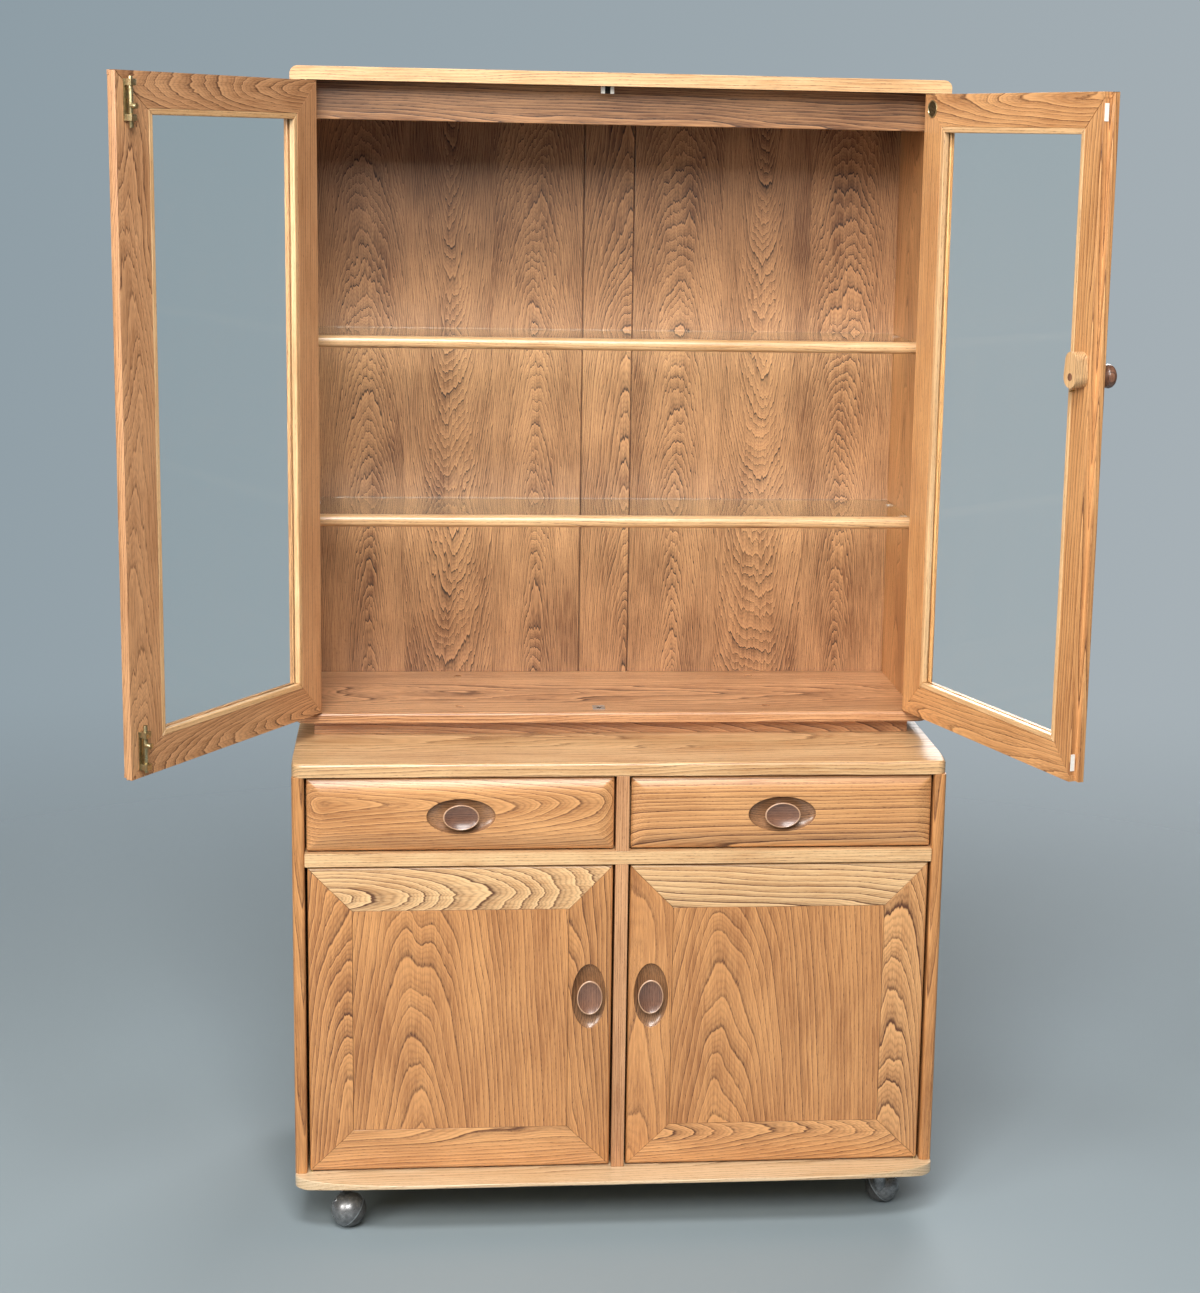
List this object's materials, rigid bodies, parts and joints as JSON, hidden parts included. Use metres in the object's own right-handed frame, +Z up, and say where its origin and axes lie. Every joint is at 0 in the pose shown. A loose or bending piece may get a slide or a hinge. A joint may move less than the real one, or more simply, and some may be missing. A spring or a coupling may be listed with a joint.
{
  "type": "glazed display cabinet",
  "caption": "Two-part display cabinet: shallow upper case with glazed doors and glass shelves on a deeper base with drawers and panelled doors, on ball castors.",
  "frame": {"origin": "on the floor under the middle of the base case", "axes": "+X to the right as seen from the front, -Y out of the front, +Z up"},
  "size_m": [1.2533, 0.7015, 1.611],
  "materials": {
    "elm": "satin lacquered elm",
    "elm_back": "satin lacquered elm, darker",
    "dark_wood": "dark stained, polished",
    "brass": "lightly tarnished",
    "steel": "dull plated",
    "clear_glass": "clear",
    "white_plastic": "nylon",
    "castor_metal": "worn bronze grey",
    "castor_rubber": "dark hard tyre"
  },
  "bodies": {
    "case": {"base_bottom_board": "elm", "base_left_side": "elm", "base_right_side": "elm", "base_top_board": "elm", "base_partition": "elm", "drawer_rail": "elm", "base_back_panel": "elm_back", "drawer_runners": "elm", "cupboard_shelves": "elm", "shelf_pegs": "steel", "cupboard_catches": "white_plastic", "castor_plates": "steel", "upper_plinth": "elm", "upper_bottom_board": "elm", "upper_left_side": "elm", "upper_right_side": "elm", "upper_top_board": "elm", "upper_head_rail": "elm", "upper_back_boards": "elm_back", "shelf_glass": "clear_glass", "shelf_lippings": "elm", "bolt_keeps": "white_plastic", "screw_plugs": "elm", "hinge_pins": "brass"},
    "left_cupboard_door": {"left_cupboard_frame": "elm", "left_cupboard_panel": "elm", "left_cupboard_pull": "dark_wood"},
    "right_cupboard_door": {"right_cupboard_frame": "elm", "right_cupboard_panel": "elm", "right_cupboard_pull": "dark_wood"},
    "left_drawer": {"left_drawer_front": "elm", "left_drawer_walls": "elm", "left_drawer_bottom": "elm", "left_drawer_pull": "dark_wood"},
    "right_drawer": {"right_drawer_front": "elm", "right_drawer_walls": "elm", "right_drawer_bottom": "elm", "right_drawer_pull": "dark_wood"},
    "left_glazed_door": {"left_glazed_frame": "elm", "left_glazed_pane": "clear_glass", "left_glazed_beads": "elm", "left_bolt_plates": "brass"},
    "top_bolt": {"top_bolt": "brass"},
    "bottom_bolt": {"bottom_bolt": "brass"},
    "right_glazed_door": {"right_glazed_frame": "elm", "right_glazed_pane": "clear_glass", "right_glazed_beads": "elm", "right_brass_fittings": "brass", "right_edge_buffers": "white_plastic"},
    "turning_knob": {"turning_knob": "dark_wood", "turn_button": "elm"},
    "castor_hood_front_left": {"castor_hood_front_left": "castor_metal"},
    "castor_ball_front_left": {"castor_ball_front_left": "castor_rubber"},
    "castor_hood_front_right": {"castor_hood_front_right": "castor_metal"},
    "castor_ball_front_right": {"castor_ball_front_right": "castor_rubber"},
    "castor_hood_rear_left": {"castor_hood_rear_left": "castor_metal"},
    "castor_ball_rear_left": {"castor_ball_rear_left": "castor_rubber"},
    "castor_hood_rear_right": {"castor_hood_rear_right": "castor_metal"},
    "castor_ball_rear_right": {"castor_ball_rear_right": "castor_rubber"}
  },
  "joints": [
    {"name": "left_cupboard_door_swing", "type": "hinge", "parent": "case", "child": "left_cupboard_door", "pos_m": [-0.432, -0.21205, 0.082], "axis": [0, 0, -1], "range_deg": [0, 100]},
    {"name": "right_cupboard_door_swing", "type": "hinge", "parent": "case", "child": "right_cupboard_door", "pos_m": [0.432, -0.21205, 0.082], "axis": [0, 0, 1], "range_deg": [0, 100]},
    {"name": "left_drawer_slide", "type": "slide", "parent": "case", "child": "left_drawer", "axis": [0, -1, 0], "range_m": [0, 0.3]},
    {"name": "right_drawer_slide", "type": "slide", "parent": "case", "child": "right_drawer", "axis": [0, -1, 0], "range_m": [0, 0.3]},
    {"name": "left_glazed_door_swing", "type": "hinge", "parent": "case", "child": "left_glazed_door", "pos_m": [-0.433, -0.0635, 0.713], "axis": [0, 0, -1], "range_deg": [-120.7, 4.3]},
    {"name": "right_glazed_door_swing", "type": "hinge", "parent": "case", "child": "right_glazed_door", "pos_m": [0.433, -0.0635, 0.713], "axis": [0, 0, 1], "range_deg": [-108.9, 16.1]},
    {"name": "top_bolt_slide", "type": "slide", "parent": "left_glazed_door", "child": "top_bolt", "axis": [0, 0, 1], "range_m": [0, 0.012]},
    {"name": "bottom_bolt_slide", "type": "slide", "parent": "left_glazed_door", "child": "bottom_bolt", "axis": [0, 0, -1], "range_m": [0, 0.012]},
    {"name": "turning_knob_turn", "type": "hinge", "parent": "right_glazed_door", "child": "turning_knob", "pos_m": [0.57066, -0.45476, 1.239], "axis": [0.9461, 0.3239, 0], "range_deg": [0, 90]},
    {"name": "castor_front_left_swivel", "type": "hinge", "parent": "case", "child": "castor_hood_front_left", "pos_m": [-0.386, -0.193, 0.066], "axis": [0, 0, 1], "continuous": true},
    {"name": "castor_front_left_roll", "type": "hinge", "parent": "castor_hood_front_left", "child": "castor_ball_front_left", "pos_m": [-0.38092, -0.21338, 0.025], "axis": [0.7433, 0.1853, -0.6428], "continuous": true},
    {"name": "castor_front_right_swivel", "type": "hinge", "parent": "case", "child": "castor_hood_front_right", "pos_m": [0.386, -0.193, 0.066], "axis": [0, 0, 1], "continuous": true},
    {"name": "castor_front_right_roll", "type": "hinge", "parent": "castor_hood_front_right", "child": "castor_ball_front_right", "pos_m": [0.39421, -0.17367, 0.025], "axis": [-0.7051, 0.2993, -0.6428], "continuous": true},
    {"name": "castor_rear_left_swivel", "type": "hinge", "parent": "case", "child": "castor_hood_rear_left", "pos_m": [-0.386, 0.145, 0.066], "axis": [0, 0, 1], "continuous": true},
    {"name": "castor_rear_left_roll", "type": "hinge", "parent": "castor_hood_rear_left", "child": "castor_ball_rear_left", "pos_m": [-0.39487, 0.16403, 0.025], "axis": [-0.6943, -0.3237, -0.6428], "continuous": true},
    {"name": "castor_rear_right_swivel", "type": "hinge", "parent": "case", "child": "castor_hood_rear_right", "pos_m": [0.386, 0.145, 0.066], "axis": [0, 0, 1], "continuous": true},
    {"name": "castor_rear_right_roll", "type": "hinge", "parent": "castor_hood_rear_right", "child": "castor_ball_rear_right", "pos_m": [0.40209, 0.1585, 0.025], "axis": [-0.4924, 0.5868, -0.6428], "continuous": true}
  ]
}
